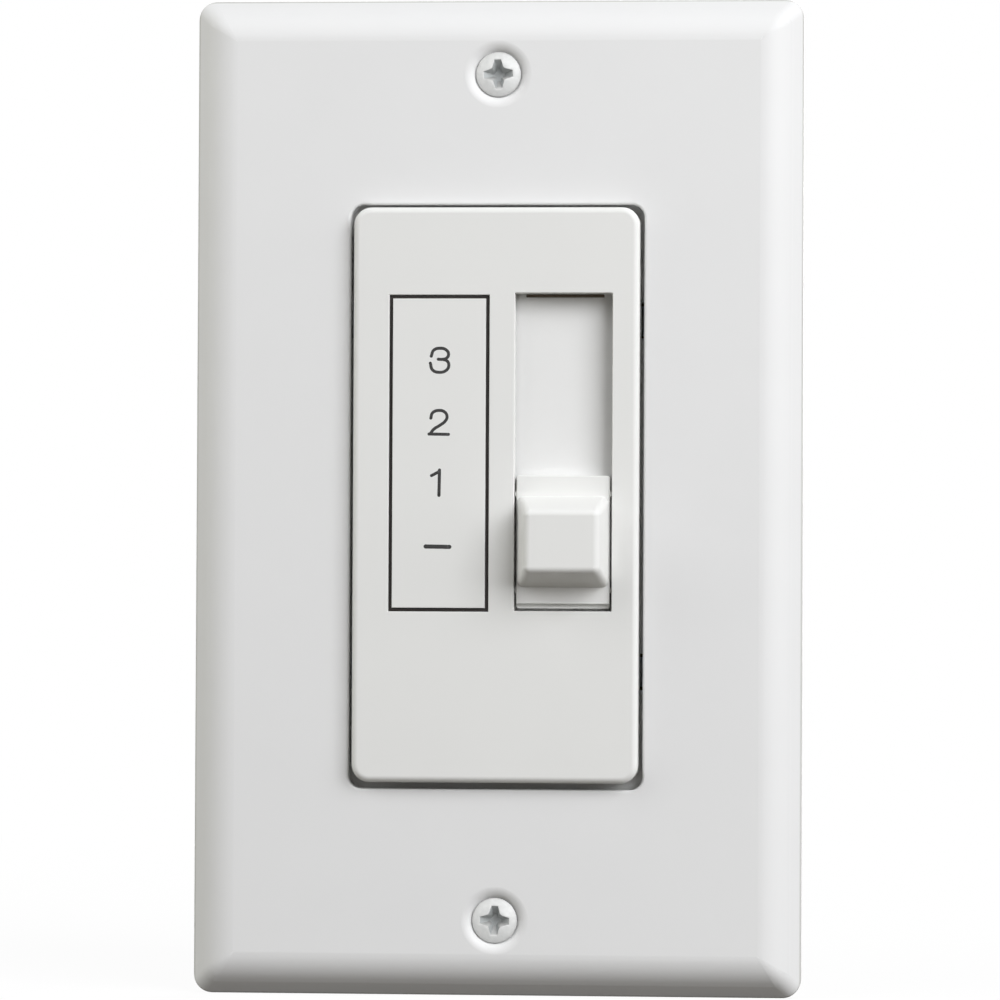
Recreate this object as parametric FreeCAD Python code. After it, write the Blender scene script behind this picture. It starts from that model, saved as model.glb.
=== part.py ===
import FreeCAD, Part
import math
import os

from FreeCAD import Vector

# Slide control for a ceiling fan's speed, in a single-gang wall plate.
# x points right, z up and y into the wall. The wall's face is y = 0, so whatever stands
# in front of the wall has a negative y. The origin is midway between the box screw holes.

# Wall plate
plate_width = 69.85
plate_height = 114.3
plate_depth = 5.7
plate_wall = 2.0
plate_corner = 2.2
edge_run = 4.9
edge_radius = 4.8
edge_slope = 48.0
edge_round = 0.35
mitre_round = 2.0
opening_width = 33.7
opening_height = 66.9
opening_corner = 1.5
opening_edge = 0.3
rim_wall = 1.2
rim_height = 0.8
side_rib_z = 12.0

# Screws that hold the wall plate
plate_screw_spacing = 96.84
plate_screw_radius = 1.7
plate_screw_length = 12.7
head_radius = 2.7
head_sunk = 0.45
dome_height = 0.65
seat_roll = 1.1
seat_clearance = 0.05
plate_hole_clearance = 0.3
boss_wall = 2.0
boss_height = 1.4
cross_reach = 1.7
cross_tip = 0.75
cross_width = 0.8
cross_depth = 1.5

# Front cover
cover_side_gap = 0.5
cover_end_gap = 0.6
cover_lift = 0.2
cover_proud = 1.7
cover_front_wall = 1.6
cover_side_wall = 1.2
cover_corner = 2.0
cover_edge = 0.7
flange_run = 1.4
flange_thickness = 1.0
hook_z = 20.2
hook_width = 3.4
hook_window = 4.2
hook_nose = 0.65
hook_nose_height = 0.9

# The two windows in the cover, side by side with a web between them
slot_width = 11.16
slot_height = 36.3
slot_margin = 3.02
slot_z = 4.88
slot_corner = 0.12
window_edge = 0.1
slot_depth = 2.6
window_web = 2.9
legend_margin = 4.14
legend_height = 36.17
legend_z = 4.72
legend_gap = 0.42
legend_edge = 0.06
legend_step = 1.1
legend_ledge = 1.0
legend_fit = 0.1
legend_pin_radius = 1.0
legend_pin_length = 2.0
legend_pin_pitch = 24.0

# Floor behind the slot
floor_thickness = 1.0
floor_margin = 0.35
floor_tail = 4.0
slit_width = 9.0
slit_height = 0.38
stake_radius = 0.7
stake_pitch = 7.4

# Carriage that slides round the floor, and the grip on it
base_gap = 0.24
base_length = 15.15
base_recess = 0.5
base_step = 0.55
base_step_drop = 0.8
base_edge = 0.15
end_gap = 0.33
nub_radius = 0.5
nub_proud = 0.17
nub_pitch = 10.96
run_clearance = 0.15
ring_clearance = 0.2
ring_length = 9.0
leg_gap = 0.3
leg_thickness = 0.7
bridge_thickness = 1.4
keel_width = 4.0
keel_length = 8.0
keel_clearance = 0.2
keel_end_clearance = 0.4
grip_foot_width = 10.47
grip_foot_length = 10.35
grip_face_width = 8.5
grip_face_length = 7.0
grip_face_shift = 0.2
grip_height = 5.6
grip_wall = 1.3
grip_edge = 0.8
peg_radius = 1.1
peg_pitch = 4.4
peg_clearance = 0.03

# Stops for the four settings
detent_count = 4
top_gap = 0.27
groove_depth = 0.3
groove_radius = 0.7
leaf_thickness = 0.2
leaf_width = 3.6
leaf_reach = 3.6
leaf_knee = 1.1
leaf_nose = 0.45
leaf_pocket = 1.1
leaf_clearance = 0.1

# Mounting yoke
yoke_thickness = 1.5
yoke_length = 105.2
yoke_side = 0.4
tongue_width = 24.0
ear_width = 39.0
ear_height = 7.2
ear_corner = 2.5
score_length = 3.2
score_width = 1.2
box_screw_spacing = 83.34
box_hole_radius = 2.2
collar_wall = 1.1
collar_height = 1.0
thread_clearance = 0.05
window_clearance = 0.25

# Deck that closes the housing and stands in the yoke's window
deck_flange = 1.6
deck_margin = 1.0
deck_side_gap = 0.25
deck_fit = 0.2
post_width = 4.6
post_setback = 1.2
post_length = 2.6
legend_post_width = 7.0
legend_post_length = 5.0
board_peg_radius = 1.2
board_peg_x = 15.4
board_peg_z = 20.0

# Housing behind the wall
housing_depth = 28.0
housing_wall = 1.8
housing_back = 2.0
housing_corner = 2.5
housing_edge = 1.5
housing_end_run = 2.0
pillar_radius = 2.4
pillar_inset = 4.0
pillar_bore = 9.0
ledge_width = 16.0
ledge_depth = 1.4
pocket_depth = 3.6
pocket_height = 13.0
pocket_front = 9.0
pocket_length = 13.0
channel_height = 9.6
channel_depth = 2.7
panel_margin = 5.5
panel_depth = 0.4
panel_corner = 1.6
ejector_radius = 2.1
ejector_depth = 0.2
ejector_inset = 5.0
gauge_length = 13.0
gauge_width = 2.6
gauge_depth = 0.7
gauge_drop = 14.0

# Screws that clamp yoke, deck and housing
clamp_radius = 1.3
clamp_length = 10.0
clamp_head_radius = 2.2
clamp_head_height = 1.2
clamp_hole_clearance = 0.3
clamp_cross_reach = 1.4
clamp_cross_width = 0.5

# Wire terminals and earth screw
terminal_thickness = 1.0
terminal_margin = 0.4
terminal_head_radius = 3.6
terminal_head_height = 2.1
terminal_head_edge = 0.45
terminal_shank_radius = 1.7
terminal_shank_length = 4.0
terminal_tab_width = 3.0
terminal_pin_width = 1.2
terminal_pin_inset = 1.8
driver_slot_width = 1.0
driver_slot_depth = 1.0
earth_tab_width = 8.0
earth_tab_length = 9.5
earth_tab_margin = 2.0
earth_head_radius = 3.4
earth_head_height = 2.0
earth_shank_length = 3.6
earth_shank_clearance = 1.12

# Circuit board and what it carries
board_front = 4.5
board_thickness = 1.6
board_gap = 0.4
rail_thickness = 0.25
rail_width = 1.6
rail_offset = 2.0
contact_length = 4.6
wiper_thickness = 0.25
wiper_rise = 1.25
wiper_base_length = 7.2
wiper_finger_width = 1.2
wiper_reach = 6.0
wiper_lip = 0.8
wiper_clearance = 0.05
wiper_pin_radius = 0.5
wiper_pin_pitch = 4.8
lead_radius = 0.4
lead_clearance = 0.05
lead_tail = 0.6
large_length = 26.0
large_width = 13.0
large_height = 17.5
large_lead_pitch = 22.5
large_pin_gap = 1.4
large_lift = 0.5
small_length = 21.0
small_width = 10.0
small_height = 15.0
small_lead_pitch = 17.5
small_end_gap = 2.93
can_edge = 0.8
resistor_radius = 1.5
resistor_length = 8.0
resistor_lead_pitch = 12.0
resistor_x = -7.0
resistor_end_gap = 3.93
resistor_pitch = 4.5
fuse_radius = 1.9
fuse_length = 7.0
fuse_lead_pitch = 10.5
fuse_x = 6.75
fuse_end_gap = 1.93
axial_standoff = 0.3

# Planes and places worked out from the sizes above
plate_face = -plate_depth
plate_back = -(plate_depth - plate_wall)
cover_width = opening_width - 2 * cover_side_gap
cover_height = opening_height - 2 * cover_end_gap
cover_face = -(plate_depth + cover_proud)
cover_back = cover_face + cover_front_wall
slot_x = cover_width / 2 - slot_margin - slot_width / 2
legend_width = cover_width - legend_margin - window_web - slot_width - slot_margin
legend_x = legend_margin + legend_width / 2 - cover_width / 2
yoke_face = -yoke_thickness
floor_front = cover_face + slot_depth
floor_back = floor_front + floor_thickness
floor_width = slot_width + 2 * floor_margin
slot_centre_z = cover_lift + slot_z
slot_top = slot_centre_z + slot_height / 2
slot_bottom = slot_centre_z - slot_height / 2
legend_centre_z = cover_lift + legend_z
base_front = cover_face + base_recess
base_back = floor_front - run_clearance
base_width = slot_width - 2 * base_gap
carriage_z = slot_bottom + end_gap + base_length / 2
leg_inner = floor_width / 2 + leg_gap
leg_outer = leg_inner + leg_thickness
bridge_front = floor_back + ring_clearance
bridge_back = bridge_front + bridge_thickness
grip_face = base_front - grip_height
deck_front = bridge_back + ring_clearance
deck_width = cover_width - 2 * cover_side_wall - 2 * deck_side_gap
deck_height = 2 * (slot_top + floor_tail + deck_margin)
travel = slot_height - base_length - end_gap - top_gap
detent_pitch = travel / (detent_count - 1)
flange_width = cover_width + 2 * flange_run
flange_height = cover_height + 2 * flange_run
clamp_x = flange_width / 2 + clamp_head_radius + window_clearance
housing_width = 2 * (clamp_x + pillar_radius)
housing_height = deck_height + 2 * housing_end_run
clamp_z = housing_height / 2 - pillar_inset
inner_width = housing_width - 2 * housing_wall
inner_height = housing_height - 2 * housing_wall
yoke_width = housing_width + 2 * yoke_side
yoke_body_height = housing_height + 2 * (earth_shank_length + earth_shank_clearance)
earth_plane = -yoke_body_height / 2
earth_tab_x = earth_tab_margin + earth_tab_width / 2 - yoke_width / 2
board_back = board_front + board_thickness
board_width = 2 * (clamp_x - pillar_radius - board_gap)
board_height = inner_height - 2 * board_gap
pocket_floor = housing_width / 2 - pocket_depth
pocket_middle = pocket_front + pocket_length / 2
pin_x = pocket_floor - housing_wall - terminal_pin_inset
clamp_hole = clamp_radius + clamp_hole_clearance
rail_front = board_front - rail_thickness
keel_end = rail_front - wiper_rise
large_x = large_pin_gap + large_width / 2 - pin_x
small_z = small_end_gap + small_width / 2 - inner_height / 2
fuse_z = inner_height / 2 - fuse_end_gap - fuse_radius
resistor_top = inner_height / 2 - resistor_end_gap - resistor_radius
resistor_rows = (resistor_top - resistor_pitch, resistor_top)


def box(x0, x1, y0, y1, z0, z1):
    return Part.makeBox(x1 - x0, y1 - y0, z1 - z0, Vector(x0, y0, z0))


def block(x, z, width, height, y0, y1):
    return box(x - width / 2, x + width / 2, y0, y1, z - height / 2, z + height / 2)


def rod(x, z, radius, y0, y1):
    return Part.makeCylinder(radius, y1 - y0, Vector(x, y0, z), Vector(0, 1, 0))


def slab(x, z, width, height, y0, y1, corner):
    # A block whose four edges along y are rounded
    solid = block(x, z, width, height, y0, y1)
    upright = [e for e in solid.Edges if abs(e.tangentAt(e.FirstParameter).y) > 0.9]
    return solid.makeFillet(corner, upright)


def edges_at(solid, y):
    return [e for e in solid.Edges if all(abs(v.Point.y - y) < 1e-6 for v in e.Vertexes)]


def round_window(solid, y, x, z, width, height, radius):
    # Rounds the front edge of an opening of the given size
    def inside(edge):
        return all(abs(v.Point.x - x) < width / 2 + radius and abs(v.Point.z - z) < height / 2 + radius
                   for v in edge.Vertexes)

    return solid.makeFillet(radius, [e for e in edges_at(solid, y) if inside(e)])


def mirrored(solid):
    return solid.mirror(Vector(0, 0, 0), Vector(1, 0, 0))


def revolved(points, x, z):
    # Points are (radius, y) pairs, turned about the line along y through x, z
    ring = [Vector(x + r, y, z) for r, y in points]
    face = Part.Face(Part.makePolygon(ring + ring[:1]))
    return face.revolve(Vector(x, 0, z), Vector(0, 1, 0), 360)


def strip(path, thickness, x0, x1):
    # Sheet metal of even thickness, bent along (z, y) points and as wide as x0 to x1
    def normal(a, b):
        length = math.hypot(b[0] - a[0], b[1] - a[1])
        return (-(b[1] - a[1]) / length, (b[0] - a[0]) / length)

    normals = [normal(a, b) for a, b in zip(path, path[1:])]
    sides = ([], [])
    for i, (z, y) in enumerate(path):
        before = normals[max(i - 1, 0)]
        after = normals[min(i, len(normals) - 1)]
        middle = (before[0] + after[0], before[1] + after[1])
        scale = 2 / (middle[0] ** 2 + middle[1] ** 2)
        for side, sign in zip(sides, (0.5, -0.5)):
            reach = sign * thickness * scale
            side.append(Vector(x0, y + middle[1] * reach, z + middle[0] * reach))
    ring = sides[0] + sides[1][::-1]
    return Part.Face(Part.makePolygon(ring + ring[:1])).extrude(Vector(x1 - x0, 0, 0))


def border_profile(half, depth, run, radius):
    # Half outline of the plate's section: side, slope, round and the flat front
    turn = math.radians(edge_slope)
    start = half - run
    slope_run = run - radius * math.sin(turn)
    shoulder = Vector(start + radius * math.sin(turn), -depth + radius * (1 - math.cos(turn)))
    middle = Vector(start + radius * math.sin(turn / 2), -depth + radius * (1 - math.cos(turn / 2)))
    side = Vector(half, shoulder.y + slope_run * math.tan(turn))
    return Vector(start, -depth), middle, shoulder, side, Vector(half, 0)


def border_prism(half, depth, run, radius, length, along_x):
    # The section above, mirrored and drawn out along x or z
    def place(point, sign):
        if along_x:
            return Vector(-length / 2, point.y, sign * point.x)
        return Vector(sign * point.x, point.y, -length / 2)

    face_end, middle, shoulder, side, foot = border_profile(half, depth, run, radius)
    edges = []
    for sign in (1, -1):
        edges.append(Part.Arc(*[place(p, sign) for p in (face_end, middle, shoulder)]).toShape())
        edges.append(Part.makeLine(place(shoulder, sign), place(side, sign)))
        edges.append(Part.makeLine(place(side, sign), place(foot, sign)))
    edges.append(Part.makeLine(place(face_end, 1), place(face_end, -1)))
    edges.append(Part.makeLine(place(foot, 1), place(foot, -1)))
    face = Part.Face(Part.Wire(Part.__sortEdges__(edges)))
    return face.extrude(Vector(length, 0, 0) if along_x else Vector(0, 0, length))


def bevelled_shell(inset, corner):
    # The plate's outer form, or with an inset the hollow behind it
    width = plate_width - 2 * inset
    height = plate_height - 2 * inset
    depth = plate_depth - inset
    run = edge_run - inset
    radius = edge_radius - inset
    across = border_prism(width / 2, depth, run, radius, height, False)
    upright = border_prism(height / 2, depth, run, radius, width, True)
    return across.common(upright).common(slab(0, 0, width, height, -depth, 0, corner))


def soften_border(plate):
    # Rounds the four mitres, then the edge between the slope and the straight side
    plate = plate.makeFillet(mitre_round, [e for e in plate.Edges if on_mitre(e)])
    rims = []
    for face in plate.Faces:
        u0, u1, v0, v1 = face.ParameterRange
        if abs(face.normalAt((u0 + u1) / 2, (v0 + v1) / 2).y) < 1e-6:
            rims += [e for e in face.Edges if all(v.Point.y < -plate_wall / 2 for v in e.Vertexes)]
    return plate.makeFillet(edge_round, rims)


def on_mitre(edge):
    # A mitre falls away from the front face and runs as far sideways as up or down
    run = edge.Vertexes[-1].Point - edge.Vertexes[0].Point
    return abs(run.x) > edge_round and abs(run.y) > edge_round and abs(abs(run.x) - abs(run.z)) < 1e-4


def screw_seat(z):
    # Countersunk hole for one plate screw, with a lip that rolls in from the plate's face
    rim = head_radius + seat_clearance
    rim_y = plate_face + head_sunk + seat_clearance
    hole = plate_screw_radius + plate_hole_clearance
    neck_y = rim_y + rim - hole
    drop = rim_y - plate_face
    radius = (seat_roll ** 2 + drop ** 2) / (2 * drop)
    ball_y = plate_face + radius
    half_turn = math.asin(seat_roll / radius) / 2
    outer = rim + seat_roll
    lip_middle = Vector(outer - radius * math.sin(half_turn), ball_y - radius * math.cos(half_turn), z)
    lip = Part.Arc(Vector(outer, plate_face, z), lip_middle, Vector(rim, rim_y, z)).toShape()
    corner = Part.makePolygon([Vector(rim, rim_y, z), Vector(rim, plate_face, z), Vector(outer, plate_face, z)])
    dish = Part.Face(Part.Wire([lip] + corner.Edges)).revolve(Vector(0, 0, z), Vector(0, 1, 0), 360)
    shaft = revolved([(0, plate_face), (rim, plate_face), (rim, rim_y), (hole, neck_y), (hole, 0), (0, 0)], 0, z)
    return dish.fuse(shaft)


def make_wall_plate():
    outer = soften_border(bevelled_shell(0, plate_corner).removeSplitter())
    plate = outer.cut(bevelled_shell(plate_wall, plate_corner - plate_wall / 2))
    rim = slab(0, 0, opening_width + 2 * rim_wall, opening_height + 2 * rim_wall,
               plate_back, plate_back + rim_height, opening_corner + rim_wall)
    plate = plate.fuse(rim)
    for end in (1, -1):
        boss = plate_screw_radius + boss_wall
        plate = plate.fuse(rod(0, end * plate_screw_spacing / 2, boss, plate_back, plate_back + boss_height))
        rib_run = plate_width / 2 - plate_wall - opening_width / 2
        for side in (1, -1):
            rib_x = side * (opening_width / 2 + rib_run / 2)
            plate = plate.fuse(block(rib_x, end * side_rib_z, rib_run, rim_wall, plate_back,
                                     plate_back + rim_height))
    plate = plate.cut(slab(0, 0, opening_width, opening_height, plate_face - 1, 0, opening_corner))
    plate = round_window(plate, plate_face, 0, 0, opening_width, opening_height, opening_edge)
    plate = plate.removeSplitter()
    for end in (1, -1):
        z = end * plate_screw_spacing / 2
        plate = plate.cut(screw_seat(z))
    return plate


def cross_recess(z, top):
    # Two tapered wings at right angles
    wings = []
    low = top + cross_depth
    for turned in (False, True):
        ring = [(-cross_reach, top), (cross_reach, top), (cross_tip, low), (-cross_tip, low)]
        if turned:
            points = [Vector(-cross_width / 2, y, z + u) for u, y in ring]
            push = Vector(cross_width, 0, 0)
        else:
            points = [Vector(u, y, z - cross_width / 2) for u, y in ring]
            push = Vector(0, 0, cross_width)
        wings.append(Part.Face(Part.makePolygon(points + points[:1])).extrude(push))
    return wings[0].fuse(wings[1])


def make_plate_screws():
    screws = []
    for end in (1, -1):
        z = end * plate_screw_spacing / 2
        rim_y = plate_face + head_sunk
        neck_y = rim_y + head_radius - plate_screw_radius
        tip_y = rim_y + plate_screw_length
        body = revolved([(0, rim_y), (head_radius, rim_y), (plate_screw_radius, neck_y),
                         (plate_screw_radius, tip_y), (0, tip_y)], 0, z)
        ball = (head_radius ** 2 + dome_height ** 2) / (2 * dome_height)
        dome = Part.makeSphere(ball, Vector(0, rim_y - dome_height + ball, z))
        dome = dome.common(rod(0, z, head_radius, rim_y - dome_height, rim_y))
        screws.append(body.fuse(dome).cut(cross_recess(z, rim_y - dome_height)).removeSplitter())
    return Part.makeCompound(screws)


def make_front_cover():
    shell = slab(0, cover_lift, cover_width, cover_height, cover_face, yoke_face, cover_corner)
    shell = shell.makeFillet(cover_edge, edges_at(shell, cover_face))
    flange = slab(0, cover_lift, flange_width, flange_height, yoke_face - flange_thickness, yoke_face,
                  cover_corner + flange_run)
    inside = slab(0, cover_lift, cover_width - 2 * cover_side_wall, cover_height - 2 * cover_side_wall,
                  cover_back, yoke_face, cover_corner - cover_side_wall)
    cover = shell.fuse(flange).cut(inside)
    for end in (1, -1):
        ledge_z = slot_centre_z + end * (slot_height / 2 + floor_tail / 2 + run_clearance)
        ledge_height = floor_tail - 2 * run_clearance
        cover = cover.fuse(block(slot_x, ledge_z, floor_width, ledge_height, cover_back, floor_front))
        for side in (1, -1):
            stake_x = slot_x + side * stake_pitch / 2
            cover = cover.fuse(rod(stake_x, ledge_z, stake_radius, floor_front, floor_back + stake_radius))
            cover = add_hook(cover, side, cover_lift + end * hook_z)
    slot = slab(slot_x, slot_centre_z, slot_width, slot_height, cover_face, cover_back, slot_corner)
    cover = cover.cut(slot)
    cover = cover.cut(block(legend_x, legend_centre_z, legend_width, legend_height, cover_face,
                            cover_face + legend_step))
    cover = cover.cut(block(legend_x, legend_centre_z, legend_width - 2 * legend_ledge,
                            legend_height - 2 * legend_ledge, cover_face, cover_back))
    cover = cover.removeSplitter()
    cover = round_window(cover, cover_face, slot_x, slot_centre_z, slot_width, slot_height, window_edge)
    return round_window(cover, cover_face, legend_x, legend_centre_z, legend_width, legend_height,
                        window_edge)


def add_hook(cover, side, z):
    # A snap arm that goes on from the side wall and catches behind the yoke
    outer = cover_width / 2
    window = block(side * (outer + flange_run / 2), z, flange_run, hook_window,
                   yoke_face - flange_thickness, yoke_face)
    nose_front = run_clearance
    nose_back = nose_front + hook_nose_height
    arm = block(side * (outer - cover_side_wall / 2), z, cover_side_wall, hook_width, yoke_face, nose_back)
    ring = [Vector(side * outer, nose_front, z - hook_width / 2),
            Vector(side * (outer + hook_nose), nose_front, z - hook_width / 2),
            Vector(side * outer, nose_back, z - hook_width / 2)]
    nose = Part.Face(Part.makePolygon(ring + ring[:1])).extrude(Vector(0, 0, hook_width))
    return cover.cut(window).fuse(arm).fuse(nose)


def make_legend_insert():
    plate = block(legend_x, legend_centre_z, legend_width - 2 * legend_gap, legend_height - 2 * legend_gap,
                  cover_face, cover_face + legend_step - legend_fit)
    plate = plate.makeFillet(legend_edge, edges_at(plate, cover_face))
    plug_inset = 2 * (legend_ledge + legend_fit)
    plate = plate.fuse(block(legend_x, legend_centre_z, legend_width - plug_inset, legend_height - plug_inset,
                             cover_face + legend_fit, cover_back))
    for end in (1, -1):
        pin_z = legend_centre_z + end * legend_pin_pitch / 2
        pin_end = cover_back + legend_pin_length
        plate = plate.fuse(rod(legend_x, pin_z, legend_pin_radius, cover_back, pin_end))
    return plate.removeSplitter()


def make_slide_floor():
    floor = block(slot_x, slot_centre_z, floor_width, slot_height + 2 * floor_tail, floor_front, floor_back)
    slit_z = slot_top - slit_height / 2
    floor = floor.cut(block(slot_x, slit_z, slit_width, slit_height, floor_front, floor_back))
    for end in (1, -1):
        hole_z = slot_centre_z + end * (slot_height / 2 + floor_tail / 2 + run_clearance)
        for side in (1, -1):
            hole_x = slot_x + side * stake_pitch / 2
            floor = floor.cut(rod(hole_x, hole_z, stake_radius + thread_clearance, floor_front, floor_back))
    groove_y = floor_back + groove_radius - groove_depth
    for step in range(detent_count):
        start = Vector(slot_x - leaf_width, groove_y, carriage_z + step * detent_pitch)
        floor = floor.cut(Part.makeCylinder(groove_radius, 2 * leaf_width, start, Vector(1, 0, 0)))
    return floor


def make_slide_carriage():
    base = slab(slot_x, carriage_z, base_width, base_length, base_front, base_back, 2 * base_edge)
    base = base.makeFillet(base_edge, edges_at(base, base_front))
    foot_z = carriage_z - base_length / 2
    base = base.cut(box(slot_x - base_width, slot_x + base_width, base_front - 1, base_front + base_step_drop,
                        foot_z - 1, foot_z + base_step))
    for side in (1, -1):
        for end in (1, -1):
            nub_x = slot_x + side * (base_width / 2 + nub_proud - nub_radius)
            base = base.fuse(rod(nub_x, carriage_z + end * nub_pitch / 2, nub_radius,
                                 base_front + base_edge, base_back))
    wings = block(slot_x, carriage_z, 2 * leg_outer, ring_length, cover_back + run_clearance, bridge_back)
    gap = block(slot_x, carriage_z, 2 * leg_inner, ring_length, base_back, bridge_front)
    bridge_and_legs = wings.cut(gap)
    carriage = base.fuse(bridge_and_legs)
    carriage = carriage.cut(block(slot_x, carriage_z, leaf_width + 2 * leg_gap, keel_length,
                                  bridge_front, bridge_front + leaf_pocket))
    carriage = carriage.fuse(block(slot_x, carriage_z, keel_width, keel_length, bridge_back, keel_end))
    for end in (1, -1):
        pin_z = carriage_z + end * wiper_pin_pitch / 2
        pin_end = keel_end + wiper_thickness + wiper_pin_radius
        carriage = carriage.fuse(rod(slot_x, pin_z, wiper_pin_radius, keel_end, pin_end))
    for side in (1, -1):
        peg_x = slot_x + side * peg_pitch / 2
        carriage = carriage.cut(rod(peg_x, carriage_z, peg_radius + peg_clearance, base_front, base_back))
    return carriage.removeSplitter()


def pyramid(width, length, top_width, top_length, y0, y1):
    # Rectangle at y0 drawn to a smaller one at y1, which stands a little to the right
    def ring(w, h, x, y):
        corners = [(-w / 2, -h / 2), (w / 2, -h / 2), (w / 2, h / 2), (-w / 2, h / 2)]
        points = [Vector(x + u, y, carriage_z + v) for u, v in corners]
        return Part.makePolygon(points + points[:1])

    return Part.makeLoft([ring(width, length, slot_x, y0),
                          ring(top_width, top_length, slot_x + grip_face_shift, y1)], True, True)


def make_knob_cap():
    cap = pyramid(grip_foot_width, grip_foot_length, grip_face_width, grip_face_length, base_front, grip_face)
    crest = [e for e in cap.Edges if any(abs(v.Point.y - grip_face) < 1e-6 for v in e.Vertexes)]
    cap = cap.makeFillet(grip_edge, crest)
    ceiling = grip_face + grip_wall
    cap = cap.cut(pyramid(grip_foot_width - 2 * grip_wall, grip_foot_length - 2 * grip_wall,
                          grip_face_width - 2 * grip_wall, grip_face_length - 2 * grip_wall,
                          base_front, ceiling))
    for side in (1, -1):
        peg_x = slot_x + side * peg_pitch / 2
        cap = cap.fuse(rod(peg_x, carriage_z, peg_radius, ceiling, base_back - run_clearance))
    return cap.removeSplitter()


def make_wiper_contact():
    base_y = keel_end + wiper_thickness / 2
    low_y = rail_front - wiper_clearance - wiper_thickness
    half = wiper_base_length / 2
    side_x = rail_offset + wiper_finger_width / 2
    base = block(slot_x, carriage_z, 2 * side_x, wiper_base_length, keel_end, keel_end + wiper_thickness)
    for end in (1, -1):
        hole_z = carriage_z + end * wiper_pin_pitch / 2
        base = base.cut(rod(slot_x, hole_z, wiper_pin_radius + thread_clearance, keel_end,
                            keel_end + wiper_thickness))
    for side in (1, -1):
        x = slot_x + side * rail_offset
        path = [(half - wiper_lip, base_y), (half + wiper_lip, base_y), (wiper_reach, low_y),
                (wiper_reach + wiper_lip, base_y + wiper_thickness)]
        path = [(carriage_z + z, y) for z, y in path]
        base = base.fuse(strip(path, wiper_thickness, x - wiper_finger_width / 2, x + wiper_finger_width / 2))
    return base.removeSplitter()


def make_detent_spring():
    foot_y = bridge_front + leaf_pocket - leaf_thickness
    nose_y = floor_back + leaf_clearance + leaf_thickness / 2
    knee_y = (foot_y + 2 * nose_y) / 3
    rise = [(leaf_nose, nose_y), (leaf_knee, knee_y), (leaf_reach, foot_y)]
    path = [(carriage_z - z, y) for z, y in rise[::-1]] + [(carriage_z + z, y) for z, y in rise]
    return strip(path, leaf_thickness, slot_x - leaf_width / 2, slot_x + leaf_width / 2)


def make_yoke():
    yoke = slab(0, 0, yoke_width, yoke_body_height, yoke_face, 0, ear_corner)
    yoke = yoke.fuse(slab(0, 0, tongue_width, yoke_length, yoke_face, 0, ear_corner))
    for end in (1, -1):
        ear_z = end * (yoke_length - ear_height) / 2
        yoke = yoke.fuse(slab(0, ear_z, ear_width, ear_height, yoke_face, 0, ear_corner))
        collar = plate_screw_radius + thread_clearance + collar_wall
        yoke = yoke.fuse(rod(0, end * plate_screw_spacing / 2, collar, yoke_face, collar_height))
    tab = block(earth_tab_x, earth_plane + yoke_thickness / 2, earth_tab_width, yoke_thickness,
                yoke_face, earth_tab_length)
    yoke = yoke.fuse(tab).removeSplitter()
    yoke = yoke.cut(slab(0, 0, cover_width + 2 * window_clearance, deck_height + 2 * window_clearance,
                         yoke_face, 0, opening_corner))
    for end in (1, -1):
        yoke = yoke.cut(rod(0, end * plate_screw_spacing / 2, plate_screw_radius + thread_clearance,
                            yoke_face, collar_height))
        yoke = yoke.cut(rod(0, end * box_screw_spacing / 2, box_hole_radius, yoke_face, 0))
        for side in (1, -1):
            yoke = yoke.cut(rod(side * clamp_x, end * clamp_z, clamp_hole, yoke_face, 0))
            score_z = end * (yoke_length - ear_height) / 2
            score_x = side * (tongue_width / 2 + score_width)
            yoke = yoke.cut(block(score_x, score_z, score_width, score_length, yoke_face, 0))
    bore = terminal_shank_radius + thread_clearance
    start = Vector(earth_tab_x, earth_tab_length / 2, earth_plane)
    yoke = yoke.cut(Part.makeCylinder(bore, yoke_thickness, start, Vector(0, 0, 1)))
    return yoke


def make_deck():
    flange_w = inner_width - 2 * deck_fit
    flange_h = inner_height - 2 * deck_fit
    deck = block(0, 0, flange_w, flange_h, 0, deck_flange)
    deck = deck.fuse(block(0, 0, deck_width, deck_height, deck_front, 0))
    for end in (1, -1):
        post_z = slot_centre_z + end * (slot_height / 2 + post_setback + post_length / 2)
        deck = deck.fuse(block(slot_x, post_z, post_width, post_length, floor_back, deck_front))
        seat_z = legend_centre_z + end * legend_pin_pitch / 2
        deck = deck.fuse(block(legend_x, seat_z, legend_post_width, legend_post_length,
                               cover_back, deck_front))
        deck = deck.cut(rod(legend_x, seat_z, legend_pin_radius + peg_clearance, cover_back,
                            cover_back + legend_pin_length + run_clearance))
        for side in (1, -1):
            peg = rod(side * board_peg_x, end * board_peg_z, board_peg_radius, deck_flange, board_front)
            deck = deck.fuse(peg).cut(rod(side * clamp_x, end * clamp_z, clamp_hole, 0, deck_flange))
            notch_x = side * (cover_width / 2 - cover_side_wall - deck_side_gap)
            notch_end = side * (cover_width / 2 + hook_nose + deck_side_gap)
            notch_z = cover_lift + end * hook_z
            deck = deck.cut(box(min(notch_x, notch_end), max(notch_x, notch_end), 0, deck_flange,
                                notch_z - hook_window / 2, notch_z + hook_window / 2))
    low = carriage_z - keel_length / 2 - keel_end_clearance
    high = carriage_z + travel + keel_length / 2 + keel_end_clearance
    half = keel_width / 2 + keel_clearance
    deck = deck.cut(box(slot_x - half, slot_x + half, deck_front, deck_flange, low, high))
    return deck.removeSplitter()


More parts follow.
